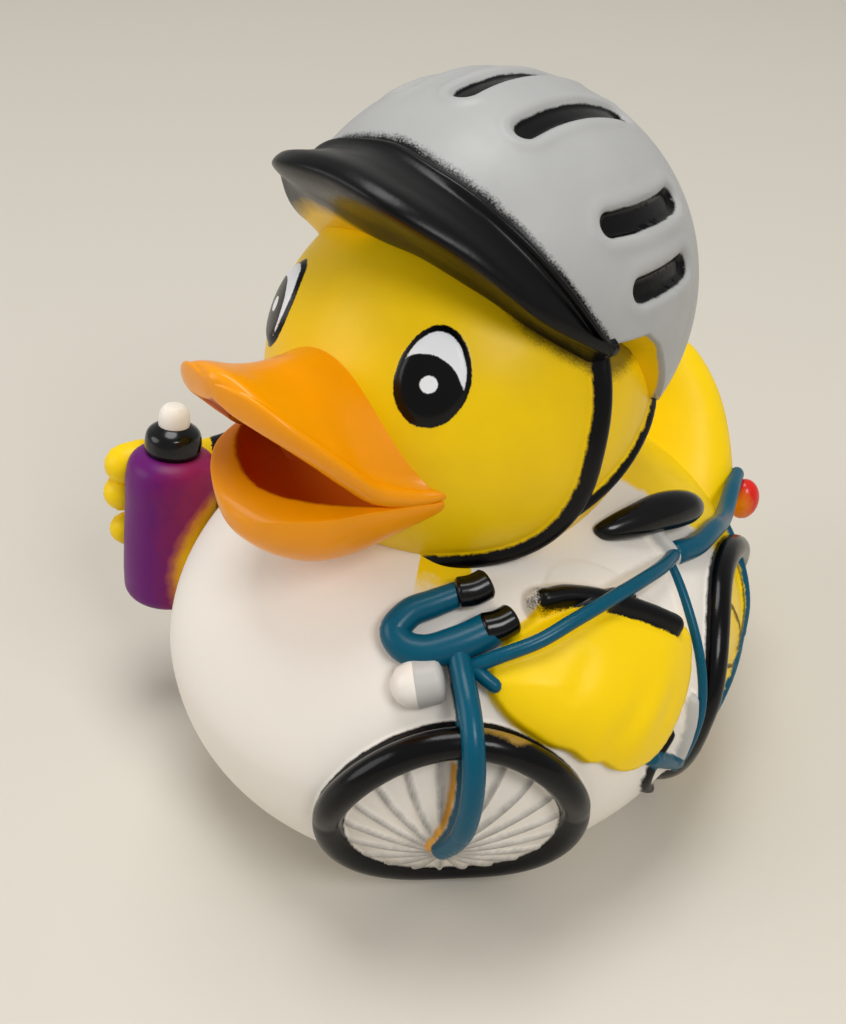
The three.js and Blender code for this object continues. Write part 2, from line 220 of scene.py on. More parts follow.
def smooth(points, count, closed=False):
    """A smooth line through the points, as that many points."""
    p = np.asarray(points, float)
    if closed:
        p = np.vstack([p[-3:], p, p[:4]])
    step = np.maximum(np.linalg.norm(np.diff(p, axis=0), axis=1), 1e-6) ** 0.5
    t = np.concatenate([[0], np.cumsum(step)])
    slope = np.gradient(p, t, axis=0)
    first, last = (t[3], t[-4]) if closed else (t[0], t[-1])
    at = np.linspace(first, last, count, endpoint=not closed)
    k = np.clip(np.searchsorted(t, at, side="right") - 1, 0, len(t) - 2)
    width = (t[k + 1] - t[k])[:, None]
    s = ((at - t[k]) / (t[k + 1] - t[k]))[:, None]
    ends = (1 + 2 * s) * (1 - s) ** 2 * p[k] + s**2 * (3 - 2 * s) * p[k + 1]
    return ends + width * s * (1 - s) * ((1 - s) * slope[k] - s * slope[k + 1])


def body_radius(azimuth, z):
    length = np.where(cosine(azimuth) > 0, BODY_FRONT, BODY_REAR)
    plan = 1 / np.hypot(sine(azimuth) / BODY_HALF_WIDTH, cosine(azimuth) / length)
    reach = np.where(z < BODY_WAIST, BODY_BELOW[0], BODY_ABOVE[0])
    power = np.where(z < BODY_WAIST, BODY_BELOW[1], BODY_ABOVE[1])
    return plan * np.clip(1 - (np.abs(z - BODY_WAIST) / reach) ** power, 0, 1) ** (1 / power)


def body_frame(azimuth, z):
    """Points on the plain body and the outward directions there."""

    def at(a, h):
        r = body_radius(a, h)
        return np.stack([sine(a) * r, -cosine(a) * r, h + 0 * r], axis=-1)

    azimuth, z = np.asarray(azimuth, float), np.asarray(z, float)
    along = at(azimuth + 0.5, z) - at(azimuth - 0.5, z)
    upward = at(azimuth, z + 0.3) - at(azimuth, z - 0.3)
    out = np.cross(along, upward)
    return at(azimuth, z), out / np.linalg.norm(out, axis=-1, keepdims=True)


def on_body(azimuth, z, lift=0.0):
    place, out = body_frame(azimuth, z)
    return place + out * np.asarray(lift, float)[..., None]


def direction(azimuth, latitude):
    azimuth, latitude = np.broadcast_arrays(np.asarray(azimuth, float), np.asarray(latitude, float))
    flat = cosine(latitude)
    return np.stack([sine(azimuth) * flat, -cosine(azimuth) * flat, sine(latitude)], axis=-1)


def on_head(azimuth, latitude, lift=0.0):
    return HEAD_CENTRE + direction(azimuth, latitude) * (HEAD_RADIUS + np.asarray(lift, float))[..., None]


def on_helmet(azimuth, latitude, lift=0.0):
    return HELMET_CENTRE + direction(azimuth, latitude) * (HELMET_RADII + np.asarray(lift, float)[..., None])


def distance(points, path):
    """Distance of each point from a line of points, and how far along that line, from 0 to 1."""
    best = np.full(len(points), FAR)
    along = np.zeros(len(points))
    for k in range(len(path) - 1):
        edge = path[k + 1] - path[k]
        part = np.clip((points - path[k]) @ edge / max(edge @ edge, 1e-12), 0, 1)
        gap = np.linalg.norm(points - path[k] - part[:, None] * edge, axis=1)
        near = gap < best
        best[near] = gap[near]
        along[near] = (k + part[near]) / (len(path) - 1)
    return best, along


def inside_outline(points, outline):
    """Signed distance from a closed flat outline, below zero inside it."""
    ring = np.vstack([outline, outline[:1]])
    gap, _ = distance(points, ring)
    inside = np.zeros(len(points), bool)
    for (x0, y0), (x1, y1) in zip(ring[:-1], ring[1:]):
        if y0 == y1:
            continue
        spans = (points[:, 1] > min(y0, y1)) & (points[:, 1] <= max(y0, y1))
        inside ^= spans & (points[:, 0] < x0 + (points[:, 1] - y0) * (x1 - x0) / (y1 - y0))
    return np.where(inside, -gap, gap)


def bar(gap, radius, lift=0.0):
    """Height of a rounded bar at a distance from its middle line, falling below zero past its edge."""
    return lift + radius * (1 - (gap / radius) ** 2.2)


def swell(a, b, soft=0.5):
    """The higher of two heights, with a soft fillet where they meet."""
    near = np.clip(1 - np.abs(a - b) / soft, 0, None)
    return np.maximum(a, b) + soft * near**2 / 4


def quads(rows, columns):
    """Faces of a grid of points, closed round its columns."""
    r, c = np.meshgrid(np.arange(rows - 1), np.arange(columns), indexing="ij")
    a, b = r * columns + c, r * columns + (c + 1) % columns
    return np.stack([a, b, b + columns, a + columns], axis=-1).reshape(-1, 4).tolist()


def loft(rings):
    """Points and faces of a closed skin over rings of points, its ends closed by fans."""
    rings = np.asarray(rings)
    rows, columns = rings.shape[:2]
    points = np.vstack([rings.reshape(-1, 3), rings[0].mean(0), rings[-1].mean(0)])
    faces = quads(rows, columns)
    last = (rows - 1) * columns
    for i in range(columns):
        j = (i + 1) % columns
        faces.append((rows * columns, j, i))
        faces.append((rows * columns + 1, last + i, last + j))
    return points, faces


ROUND_END = [(0.87, 0.5), (0.5, 0.87), (0.15, 0.99)]


def sweep(path, radii, sides=20, flat=1.0, nose=1.0):
    """Points and faces of a bar along a line; flat squeezes its section, nose draws out its round ends."""
    path = np.asarray(path, float)
    radii = np.broadcast_to(np.asarray(radii, float), len(path))
    heading = np.gradient(path, axis=0)
    heading /= np.linalg.norm(heading, axis=1, keepdims=True)
    side = np.cross(heading[0], [0.0, 0.0, 1.0])
    turn = np.linspace(0, 2 * np.pi, sides, endpoint=False)[:, None]
    rings = []
    for k, (place, radius) in enumerate(zip(path, radii)):
        side = side - heading[k] * (side @ heading[k])
        side /= np.linalg.norm(side)
        over = np.cross(heading[k], side)
        circle = np.cos(turn) * side * flat + np.sin(turn) * over
        start = [(size, -ahead) for size, ahead in ROUND_END[::-1]] if k == 0 else []
        end = ROUND_END if k == len(path) - 1 else []
        for size, ahead in [*start, (1, 0), *end]:
            rings.append(place + heading[k] * ahead * nose * radius + circle * size * radius)
    return loft(rings)


SPIN_SIDES = 64


def spin(profile, foot, lean):
    """Points and faces of a turned form: (radius, height) pairs about an axis leaning back along Y."""
    turn = np.linspace(0, 2 * np.pi, SPIN_SIDES, endpoint=False)
    rings = []
    for radius, height in profile:
        radius = max(radius, 0.02)
        ring = np.stack([radius * np.cos(turn), radius * np.sin(turn), np.full(SPIN_SIDES, height)], axis=1)
        tilt = np.array([[1, 0, 0], [0, cosine(lean), -sine(lean)], [0, sine(lean), cosine(lean)]])
        rings.append(foot + ring @ tilt)
    return loft(rings)


def make(name, shape, material, marks=None):
    """One finished piece of the duck, with its named paint distances."""
    points, faces = shape
    mesh = bpy.data.meshes.new(name)
    mesh.from_pydata((points * MM).tolist(), [], faces)
    for mark, values in (marks or {}).items():
        if len(values) < len(points):
            values = np.concatenate([values, values[:1], values[-1:]])
        mesh.attributes.new(mark, "FLOAT", "POINT").data.foreach_set("value", values.astype(np.float32))
    work = bmesh.new()
    work.from_mesh(mesh)
    bmesh.ops.recalc_face_normals(work, faces=work.faces)
    work.to_mesh(mesh)
    work.free()
    mesh.shade_smooth()
    mesh.materials.append(material)
    piece = bpy.data.objects.new(name, mesh)
    bpy.context.collection.objects.link(piece)
    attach(piece, "root")
    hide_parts("duck")


def coat(where, colour, rough=0.4, soft=0.1, ragged=0.08, specks=0.03, cover=1.0):
    """A coat of paint inside a named distance; soft, ragged and specks are in millimetres."""
    return dict(where=where, colour=colour, rough=rough, soft=soft, ragged=ragged, specks=specks, cover=cover)


def painted(name, ground, rough=0.42, coats=(), gloss=0.0):
    """A vinyl material: a mottled ground under coats of paint with ragged edges, and a fine orange-peel."""
    material = bpy.data.materials.new(name)
    material.use_nodes = True
    tree = material.node_tree
    shader = tree.nodes["Principled BSDF"]
    shader.inputs["Coat Weight"].default_value = gloss
    shader.inputs["Coat Roughness"].default_value = COAT_ROUGHNESS
    shader.inputs["Specular IOR Level"].default_value = VINYL_SPECULAR
    place = tree.nodes.new("ShaderNodeTexCoord").outputs["Object"]

    def link(value, socket):
        if hasattr(value, "is_linked"):
            tree.links.new(value, socket)
        else:
            socket.default_value = value

    def noise(scale, detail):
        node = tree.nodes.new("ShaderNodeTexNoise")
        node.inputs["Scale"].default_value = scale
        node.inputs["Detail"].default_value = detail
        tree.links.new(place, node.inputs["Vector"])
        return node.outputs["Fac"]

    def stretch(value, low, high, to_low, to_high):
        node = tree.nodes.new("ShaderNodeMapRange")
        for socket, given in zip(node.inputs, (value, low, high, to_low, to_high)):
            link(given, socket)
        return node.outputs["Result"]

    def add(a, b):
        node = tree.nodes.new("ShaderNodeMath")
        link(a, node.inputs[0])
        link(b, node.inputs[1])
        return node.outputs["Value"]

    def mix(kind, share, a, b):
        node = tree.nodes.new("ShaderNodeMix")
        node.data_type = kind
        sockets = [s for s in node.inputs if s.enabled]
        for socket, given in zip(sockets, (share, a, b)):
            link(given, socket)
        return next(s for s in node.outputs if s.enabled)

    blotch = noise(BLOTCH_SCALE, 3)
    wander = noise(WANDER_SCALE, 2)
    speck = noise(SPECK_SCALE, 1)
    shade = tuple(0.95 * c for c in ground[:3]) + (1.0,)
    colour = mix("RGBA", stretch(blotch, 0.35, 0.65, 0, 1), ground, shade)
    sheen = stretch(blotch, 0.3, 0.7, rough - 0.05, rough + 0.05)
    for layer in coats:
        mark = tree.nodes.new("ShaderNodeAttribute")
        mark.attribute_name = layer["where"]
        edge = add(mark.outputs["Fac"], stretch(wander, 0.3, 0.7, -layer["ragged"], layer["ragged"]))
        edge = add(edge, stretch(speck, 0.3, 0.7, -layer["specks"], layer["specks"]))
        cover = stretch(edge, -layer["soft"], layer["soft"], layer["cover"], 0.0)
        colour = mix("RGBA", cover, colour, layer["colour"])
        sheen = mix("FLOAT", cover, sheen, layer["rough"])
    link(colour, shader.inputs["Base Color"])
    link(sheen, shader.inputs["Roughness"])
    bump = tree.nodes.new("ShaderNodeBump")
    bump.inputs["Strength"].default_value = PEEL_STRENGTH
    bump.inputs["Distance"].default_value = PEEL_DEPTH
    link(noise(PEEL_SCALE, 3), bump.inputs["Height"])
    tree.links.new(bump.outputs["Normal"], shader.inputs["Normal"])
    return material


def lay(pairs, count=36, lift=0.0):
    """A smooth line through (azimuth, height) pairs, laid on the plain body."""
    azimuth, z = smooth(pairs, count).T
    return on_body(azimuth, z, np.full(count, lift))


def rail(triples, count=80):
    """A smooth line through (azimuth, height, lift) triples, standing off the plain body."""
    azimuth, z, lift = smooth(triples, count).T
    return on_body(azimuth, z, lift)


def wheel_pairs(azimuth, angle, reach):
    """Azimuth and height of points of a wheel, at angles round it and distances from its middle."""
    girth = body_radius(azimuth, WHEEL_HEIGHT)
    squash = np.where(sine(angle) > 0, WHEEL_SQUASH, 1)
    z = np.maximum(2.2, WHEEL_HEIGHT + reach * squash * sine(angle))
    return np.stack(np.broadcast_arrays(azimuth + np.degrees(reach * cosine(angle) / girth), z), axis=-1)


def spokes(points, end):
    """Distance of each point from the spokes of a wheel, which fan out from its hub."""
    gap = np.full(len(points), FAR)
    hub = SPOKE_HUB[end]
    for angle in (np.arange(SPOKE_COUNT[end]) + 0.5) * 360 / SPOKE_COUNT[end]:
        rim = wheel_pairs(WHEEL_AZIMUTH[end], angle, WHEEL_RADIUS[end] - SPOKE_END)
        line = hub + (rim - hub) * np.linspace(0.14, 1, 6)[:, None]
        gap = np.minimum(gap, distance(points, on_body(line[:, 0], line[:, 1]))[0])
    return gap


WING = [
    (51.5, 36), (54, 33.6), (58, 31.6), (62, 29.8), (66, 28.6), (69, 26.8), (72, 26.2), (75.5, 24.2),
    (79.5, 23.4), (83.5, 23.6), (87, 24.6), (90.5, 26.2), (94.5, 28.2), (98.5, 30.6), (101.5, 33.2), (99, 37),
    (94, 40.5), (86, 42.5), (76, 42.8), (68, 41.2), (64, 39.9), (57, 38.8),
]
CUFF = [(67.5, 40.9), (74, 40.6), (82, 39.5), (89, 37.8), (93.5, 36.3), (97, 34.8)]
FORK = [
    (44.6, 39, 1.2), (45.8, 36.6, 2.2), (46.7, 34.2, 3.8), (47.1, 31.6, 4.8), (47.2, 28.8, 4.6),
    (46.6, 24.5, 3.2), (45, 20, 1.7), (42.8, 16.8, 0.7),
]
TOP_TUBE = [
    (48, 37.3, 1.5), (54, 37.8, 2.6), (62, 38.25, 3.4), (71, 38.9, 3.8), (82, 39.25, 3.8), (94, 39.15, 3.3),
    (104, 38.8, 2.3), (114, 38.4, 0.9),
]
DOWN_STUB = [(47.6, 37.4, 1.4), (50, 36.5, 1.6), (52.2, 35.7, 1.5)]
SEAT_TUBE = [
    (111.5, 38.6, 0.7), (105.2, 34, 1), (101.6, 29.5, 1.1), (99.2, 24.5, 1), (97.4, 19, 0.9),
    (96.8, 14.8, 0.6),
]
BLUE_LINES = [
    ([(85, 22.2), (91, 18.8), (98.5, 14.8)], 1.1, 0.3),
    ([(97, 15.4), (106, 16.4), (118, 19), (131, 20.5)], 0.7, 0.4),
    ([(131, 20.5), (137, 27), (144, 32)], 0.7, 0.5),
]
CHAIN_RING = [(90, 23.8), (86.5, 21.4), (85.5, 18.5), (87, 15.6), (90, 13.6)]
CRANK = [(97, 26), (95.8, 21.6), (95, 17.4)]
SEAT_POST = [(116, 41), (115, 39.7), (114, 38.2)]
WING_GROOVES = [[(75, 37), (65, 33)], [(86, 33), (72.5, 27.5)], [(92, 31), (80, 25)]]
SHIRT_BACK = 131
NECK = [(-180, 50), (31, 50), (32.5, 43), (40, 42.6), (46, 42.2), (49, 42.2), (51, 50), (180, 50)]


def body_grid():
    """Azimuths and heights of the body's points: close on the bicycle's side, even up the flank."""
    azimuth = np.concatenate([np.arange(14, 154, 0.5), np.arange(154, 374, 2.0)])
    height = np.linspace(0, BODY_TOP, 2000)
    step = np.hypot(np.diff(height), np.diff(body_radius(70, height)))
    arc = np.concatenate([[0], np.cumsum(step)])
    rows = np.interp(np.linspace(0, arc[-1], 215), arc, height)
    rows = np.concatenate([[0, 0.12, 0.35], rows[rows > 0.6]])
    return np.where(azimuth > 180, azimuth - 360, azimuth), rows


def wing_relief(points, A, Z):
    """Height of the wing, sleeve and cuff over the plain body, and the paint distances."""
    flat = np.stack([np.radians(A) * BODY_HALF_WIDTH, Z], axis=1)
    outline = smooth(WING, 120, closed=True) * [np.radians(1) * BODY_HALF_WIDTH, 1]
    wing = inside_outline(flat, outline)
    cuff_height = read(CUFF, A)
    below = np.clip((cuff_height - Z + 2) / 4, 0, 1)
    brink = WING_BRINK * below
    inner = SHOULDER_CROWN + (WING_CROWN - SHOULDER_CROWN) * below
    crown = brink + (inner - brink) * np.sin(np.clip(-wing / WING_SLOPE, 0, 1) * np.pi / 2)
    relief = swell(np.zeros(len(A)), np.where(wing < 0, crown, brink - 3 * wing))
    for groove in WING_GROOVES:
        gap, along = distance(points, lay(groove, 12))
        fade = np.sin(np.pi * np.clip(along, 0.05, 0.95))
        relief = relief - GROOVE_DEPTH * np.exp(-((gap / GROOVE_WIDTH) ** 2)) * fade
    cuff_gap, cuff_along = distance(points, lay(CUFF))
    relief = swell(relief, bar(cuff_gap, CUFF_RADIUS, CUFF_LIFT), 0.6)
    above_cuff = np.where(A > CUFF_START, Z - cuff_height, -20)
    marks = {
        "wing": np.maximum(wing - 0.5, above_cuff),
        "cuff": (cuff_gap - CUFF_RADIUS) * np.interp(cuff_along, [0, 0.08, 0.2], [0.3, 0.5, 1]),
    }
    return relief, marks


def wheel_relief(points, relief):
    """The height with both wheels added, and the paint distances."""
    tyre = np.full(len(points), FAR)
    turn = np.linspace(0, 360, 73)
    for end, radius in TYRE_RADIUS.items():
        pairs = wheel_pairs(WHEEL_AZIMUTH[end], turn, WHEEL_RADIUS[end])
        gap, _ = distance(points, on_body(pairs[:, 0], pairs[:, 1]))
        relief = swell(relief, bar(gap, radius, 0.2))
        tyre = np.minimum(tyre, gap - radius)
    front_spokes = spokes(points, "front")
    rear_spokes = spokes(points, "rear")
    relief = swell(relief, bar(np.minimum(front_spokes, rear_spokes), SPOKE_RADIUS, 0.1), 0.3)
    wheel_gap = np.linalg.norm(points - on_body(WHEEL_AZIMUTH["rear"], WHEEL_HEIGHT), axis=1)
    marks = {
        "rear_wheel": wheel_gap - WHEEL_RADIUS["rear"] + TYRE_RADIUS["rear"],
        "tyre": tyre - 0.05,
        "spoke": front_spokes - SPOKE_PAINT,
        "rear_spoke": rear_spokes - SPOKE_PAINT,
    }
    return relief, marks


def frame_relief(points, A, Z, relief):
    """The height with the bicycle's frame and drive added, and the paint distances."""
    fork_gap, _ = distance(points, lay(np.array(FORK)[:, :2]))
    relief = swell(relief, bar(fork_gap, FORK_RADIUS, 0.5))
    tube_gap, tube_along = distance(points, lay(np.array(TOP_TUBE)[:, :2]))
    tube_lift = np.interp(tube_along, np.linspace(0, 1, len(TOP_TUBE)), np.array(TOP_TUBE)[:, 2])
    relief = swell(relief, bar(tube_gap, TOP_TUBE_RADIUS, tube_lift - 0.7), 0.3)
    seat_gap, _ = distance(points, lay(np.array(SEAT_TUBE)[:, :2]))
    relief = swell(relief, bar(seat_gap, SEAT_TUBE_BED, 0.1), 0.4)
    blue = fork_gap - FORK_RADIUS
    for pairs, radius, lift in BLUE_LINES:
        gap, _ = distance(points, lay(pairs))
        relief = swell(relief, bar(gap, radius, lift), 0.4)
        blue = np.minimum(blue, gap - radius)
    ring_gap, _ = distance(points, lay(CHAIN_RING))
    crank_gap, _ = distance(points, lay(CRANK))
    post_gap, _ = distance(points, lay(SEAT_POST))
    relief = swell(relief, bar(ring_gap, CHAIN_RADIUS, 0.2), 0.3)
    relief = swell(relief, bar(crank_gap, CRANK_RADIUS, 0.5), 0.3)
    relief = swell(relief, bar(post_gap, SEAT_POST_RADIUS, 0.6), 0.3)
    beside_fork = read([(z, a) for a, z, _ in FORK[::-1]], Z) - A
    bare_strip = np.abs(fork_gap - FORK_RADIUS - 0.3) - 0.4
    marks = {
        "bare": np.maximum(bare_strip, np.maximum(-beside_fork, np.abs(Z - 22) - 7)),
        "blue": blue,
        "chain": ring_gap - CHAIN_RADIUS,
        "post": np.minimum(post_gap - SEAT_POST_RADIUS, crank_gap - CRANK_RADIUS),
    }
    return relief, marks


def body_paint():
    return painted("body_paint", BRIGHT_YELLOW, 0.42, [
        coat("shirt", WHITE, 0.5, soft=0.9, ragged=0.4, specks=0.1),
        coat("rear_wheel", BRIGHT_YELLOW, 0.4, soft=0.8, ragged=0.7, specks=0.2, cover=0.9),
        coat("wing", BRIGHT_YELLOW, 0.4, soft=0.15, ragged=0.08),
        coat("spoke", SPOKE_GREY, 0.5, soft=0.25, cover=0.75),
        coat("rear_spoke", BLACK, 0.4, cover=0.8),
        coat("cuff", BLACK, 0.3, ragged=0.08, specks=0.08),
        coat("tyre", BLACK, 0.18, ragged=0.05, specks=0.02),
        coat("bare", BARE_STRIP, 0.4, soft=0.2),
        coat("chain", BLACK, 0.3),
        coat("post", LAMP_GREY, 0.4),
        coat("blue", BLUE, 0.3),
    ])


def body():
    azimuth, rows = body_grid()
    A, Z = (g.ravel() for g in np.meshgrid(azimuth, rows))
    points, out = body_frame(A, Z)
    level = np.stack([sine(A), -cosine(A), 0 * A], axis=-1)
    tuck = 1 - np.clip(Z / BASE_EDGE, 0, 1)
    points = points - level * (BASE_EDGE * (1 - np.sqrt(1 - tuck**2)))[:, None]
    relief, wing_marks = wing_relief(points, A, Z)
    relief, wheel_marks = wheel_relief(points, relief)
    relief, frame_marks = frame_relief(points, A, Z, relief)
    shirt = np.maximum((np.abs(A) - SHIRT_BACK) * BODY_DEGREE, Z - read(NECK, A))
    marks = {"shirt": shirt, **wing_marks, **wheel_marks, **frame_marks}
    shape = loft((points + out * relief[:, None]).reshape(len(rows), len(azimuth), 3))
    make("body", shape, body_paint(), marks)


def tail():
    sections = [
        (8, 26, 16, 8), (13, 28.4, 18.6, 11.4), (18, 30, 20, 14), (25, 34.5, 18.5, 12), (31, 39, 15.3, 9.5),
        (36, 42, 12, 7.2), (40, 43.8, 8.8, 5.4), (43, 44.6, 5.8, 3.9), (45, 45, 3.2, 2.5), (46, 45.2, 1.2, 1),
    ]
    turn = np.linspace(0, 2 * np.pi, 64, endpoint=False)
    rings = [
        np.stack([across * np.sin(turn), y - deep * np.cos(turn), np.full(64, z)], axis=1)
        for z, y, across, deep in smooth(sections, 60)
    ]
    make("tail", loft(rings), painted("tail_vinyl", BRIGHT_YELLOW, 0.4))


def eye_marks(A, L):
    """Distances from the painted parts of both eyes: the black oval, and the white in it with its glint."""
    oval = np.full(len(A), FAR)
    white = np.full(len(A), FAR)
    for side in (-1, 1):
        across = np.radians(A - side * EYE_AZIMUTH) * HEAD_RADIUS * cosine(EYE_LATITUDE)
        up = np.radians(L - EYE_LATITUDE) * HEAD_RADIUS
        rim = np.hypot((across - side * EYE_LEAN * up) / EYE_HALF[0], up / EYE_HALF[1]) - 1
        rim = rim * EYE_MEAN_HALF
        iris = np.hypot(across - IRIS_PLACE[0], up - IRIS_PLACE[1]) - IRIS_RADIUS
        glint = np.hypot(across - GLINT_PLACE[0], up - GLINT_PLACE[1]) - GLINT_RADIUS
        oval = np.minimum(oval, rim)
        white = np.minimum(white, np.minimum(np.maximum(rim + EYE_RIM, -iris), glint))
    return oval, white


FRONT_STRAP = [
    (91, 30), (88, 16), (84.5, 2), (81, -15), (74, -27), (64, -33), (52, -35.5), (42, -37), (34, -39),
]
REAR_STRAP = [(126, 3), (121, -4), (108, -9), (97, -14), (82, -20)]
BROW = [(0, 62), (27, 60), (54, 50), (71, 38), (92, 22)]


def head():
    azimuth = np.concatenate([np.arange(-60, 110, 0.75), np.arange(110, 300, 2.0)])
    azimuth = np.where(azimuth > 180, azimuth - 360, azimuth)
    latitude = np.arange(-78, 78.1, 0.75)
    A, L = (g.ravel() for g in np.meshgrid(azimuth, latitude))
    points = on_head(A, L, np.zeros(len(A)))
    oval, white = eye_marks(A, L)
    relief = swell(np.zeros(len(A)), EYE_CUSHION - np.clip(oval + EYE_SLOPE, 0, None) ** 2 * 0.5, 0.3)
    strap = np.full(len(A), FAR)
    for side in (-1, 1):
        for pairs, radius in ((FRONT_STRAP, STRAP_RADIUS), (REAR_STRAP, REAR_STRAP_RADIUS)):
            line = smooth([(side * a, l) for a, l in pairs], 40)
            gap, _ = distance(points, on_head(line[:, 0], line[:, 1], np.zeros(40)))
            relief = swell(relief, bar(gap, radius, 0.1), 0.4)
            strap = np.minimum(strap, gap - radius)
    points = points + direction(A, L) * relief[:, None]
    local = (points - MOUTH_CENTRE) / (MOUTH_SPREAD * MOUTH_RADII)
    depth = 1 - local[:, 0] ** 2 - local[:, 2] ** 2
    back = MOUTH_CENTRE[1] + MOUTH_RADII[1] * np.sqrt(np.clip(depth, 0, 1))
    in_mouth = (depth > 0) & (points[:, 1] < back)
    points[in_mouth, 1] = back[in_mouth]
    mouth_rim = np.where(points[:, 2] < MOUTH_LEVEL, -0.2, 0.1)
    below_brow = (ease(BROW, np.clip(A, -92, 92)) - SPRAY_DROP - L) * HEAD_DEGREE
    ahead_of_temple = np.clip((SPRAY_AZIMUTH - A) * 0.2, 0, 3)
    marks = {
        "oval": oval,
        "white": white,
        "strap": strap,
        "mouth": np.where((depth > mouth_rim) & (points[:, 1] < 0), -1.0, 1.0),
        "spray": below_brow + ahead_of_temple,
    }
    paint = painted("head_paint", YELLOW, 0.38, [
        coat("spray", BLACK, 0.5, soft=0.8, ragged=0.2, specks=0.35, cover=0.75),
        coat("mouth", MOUTH_BROWN, 0.45),
        coat("oval", BLACK, 0.25, soft=0.06, ragged=0.06, specks=0.04),
        coat("white", EYE_WHITE, 0.3, soft=0.06, ragged=0.05, specks=0.03),
        coat("strap", BLACK, 0.28),
    ])
    shape = loft(points.reshape(len(latitude), len(azimuth), 3))
    make("head", shape, paint, marks)


BILL_ACROSS = 41
BILL_CURL = 9


def bill_section(across, edge, top, bottom, lip, fullness):
    """Outline of a bill: a ridge falling to a rolled lip on each side, then back underneath."""
    roll = min(lip / 2, 0.4 * across)
    flat = across - roll
    x = np.linspace(-flat, flat, BILL_ACROSS)
    ridge = edge + lip + (top - edge - lip) * (1 - (x / flat) ** 2) ** fullness
    turn = np.radians(np.linspace(75, -75, BILL_CURL))
    curl = np.stack([flat + roll * np.cos(turn), edge + lip / 2 + lip / 2 * np.sin(turn)], axis=1)
    under = edge + (bottom - edge) * (1 - (x / flat) ** 2)
    far_curl = curl[::-1] * [-1, 1]
    return np.vstack([np.stack([x, ridge], axis=1), curl, np.stack([x, under], axis=1)[::-1], far_curl])


def upper_bill(paint):
    sections = [
        (-10, 15.4, 55.4, 66, 55, 1, 0.75), (-17, 15.2, 55.3, 67.6, 55, 1.3, 0.75),
        (-20, 14, 55, 68.6, 54.8, 2.2, 0.85), (-24, 12.7, 56.2, 69.2, 57, 3.2, 1),
        (-27.5, 12, 59.6, 69.6, 61.2, 3.5, 1.2), (-30.5, 10.9, 63, 70.4, 64.4, 3.5, 1.2),
        (-32.7, 9.2, 65.4, 71.4, 66.4, 3.6, 1), (-34.1, 6.8, 66.9, 72, 67.5, 3.7, 1),
        (-35, 3.6, 68, 72, 68.3, 3.1, 1), (-35.5, 1.2, 69.2, 71.5, 69.3, 1.8, 1),
    ]
    rings, inner = [], []
    for y, across, edge, top, bottom, lip, fullness in smooth(sections, 90):
        x, z = bill_section(across, edge, top, bottom, lip, fullness).T
        reach = 1 - (x / MOUTH_RADII[0]) ** 2 - ((y - MOUTH_CENTRE[1]) / MOUTH_RADII[1]) ** 2
        roof = MOUTH_CENTRE[2] + MOUTH_RADII[2] * np.sqrt(np.clip(reach, 0, 1))
        k = np.arange(len(x))
        under = (k > BILL_ACROSS + BILL_CURL) & (k < 2 * BILL_ACROSS + BILL_CURL)
        z = np.where(under & (reach > 0), np.clip(roof, z, np.maximum(z, top - 2)), z)
        inner.append(np.where(under, np.abs(x) - across + 0.5 * lip + 0.6, 2.0))
        rings.append(np.stack([x, np.full(len(x), y), z], axis=1))
    make("upper_bill", loft(rings), paint, {"inner": np.concatenate(inner)})


def lower_bill(paint):
    sections = [
        (-10, 15, 55.2, 55.4, 52), (-17, 15, 55.2, 55.4, 50.5), (-21, 13.4, 55.5, 55.7, 48),
        (-25, 12, 56, 56.2, 46.6), (-28.5, 10.3, 56, 56.2, 47), (-31.3, 7.6, 55.6, 55.9, 48.6),
        (-33.2, 4.4, 54.8, 55.2, 50.6), (-34, 1.6, 53.6, 54, 52),
    ]
    turn = np.linspace(0, 2 * np.pi, 96, endpoint=False)
    cos, sin = np.cos(turn), np.sin(turn)
    rings, inner = [], []
    for y, across, edge, top, bottom in smooth(sections, 80):
        side = np.sign(cos) * np.abs(cos) ** 0.85
        z = edge + np.abs(sin) ** 0.9 * np.where(sin > 0, top - edge, bottom - edge)
        ahead = max(0, (HOLLOW_MIDDLE - y) / (HOLLOW_MIDDLE - HOLLOW_FRONT))
        hollow = np.clip(1 - (side / LIP_START) ** 2 - ahead**2, 0, 1)
        z = np.where(sin > 0, z - HOLLOW_DEPTH * (edge - bottom) * np.sqrt(hollow), z)
        inner.append(np.where(sin > 0, (np.hypot(side / LIP_START, ahead) - 1) * 0.7 * across, 2.0))
        rings.append(np.stack([across * side, np.full(96, y), z], axis=1))
    make("lower_bill", loft(rings), paint, {"inner": np.concatenate(inner)})


def beak():
    # The upper bill's underside takes a darker brown than the lower bill's hollow: painted shade in the roof
    # of the mouth.
    roof = [coat("inner", ROOF_SHADE_BROWN, 0.45, soft=0.3, ragged=0.05)]
    bed = [coat("inner", MOUTH_BROWN, 0.45, soft=0.3, ragged=0.05)]
    upper_bill(painted("upper_bill_paint", ORANGE, 0.32, roof, gloss=0.12))
    lower_bill(painted("lower_bill_paint", ORANGE, 0.32, bed, gloss=0.12))


HELMET_RIM = [
    (0, 49), (25, 45), (41, 39), (54, 30), (64, 19), (74, 7.5), (90, 6), (95, 1), (106, -21),
    (112, -26), (140, -32), (180, -34),
]
SIDE_VENTS = [((84, 36), (118, 33)), ((89, 18), (110, 17))]
CREASE_END = 76
CREASE = [(0, 55), (25, 51), (41, 45), (54, 36), (64, 25), (CREASE_END, 7)]


def over_top(x):
    """A line over the top of the helmet from front to back, at a place across it."""
    y = np.linspace(0, 15, 12)
    rest = 1 - (x / HELMET_RADII[0]) ** 2 - ((y - HELMET_CENTRE[1]) / HELMET_RADII[1]) ** 2
    return np.stack([np.full(12, x), y, HELMET_CENTRE[2] + HELMET_RADII[2] * np.sqrt(rest)], axis=1)


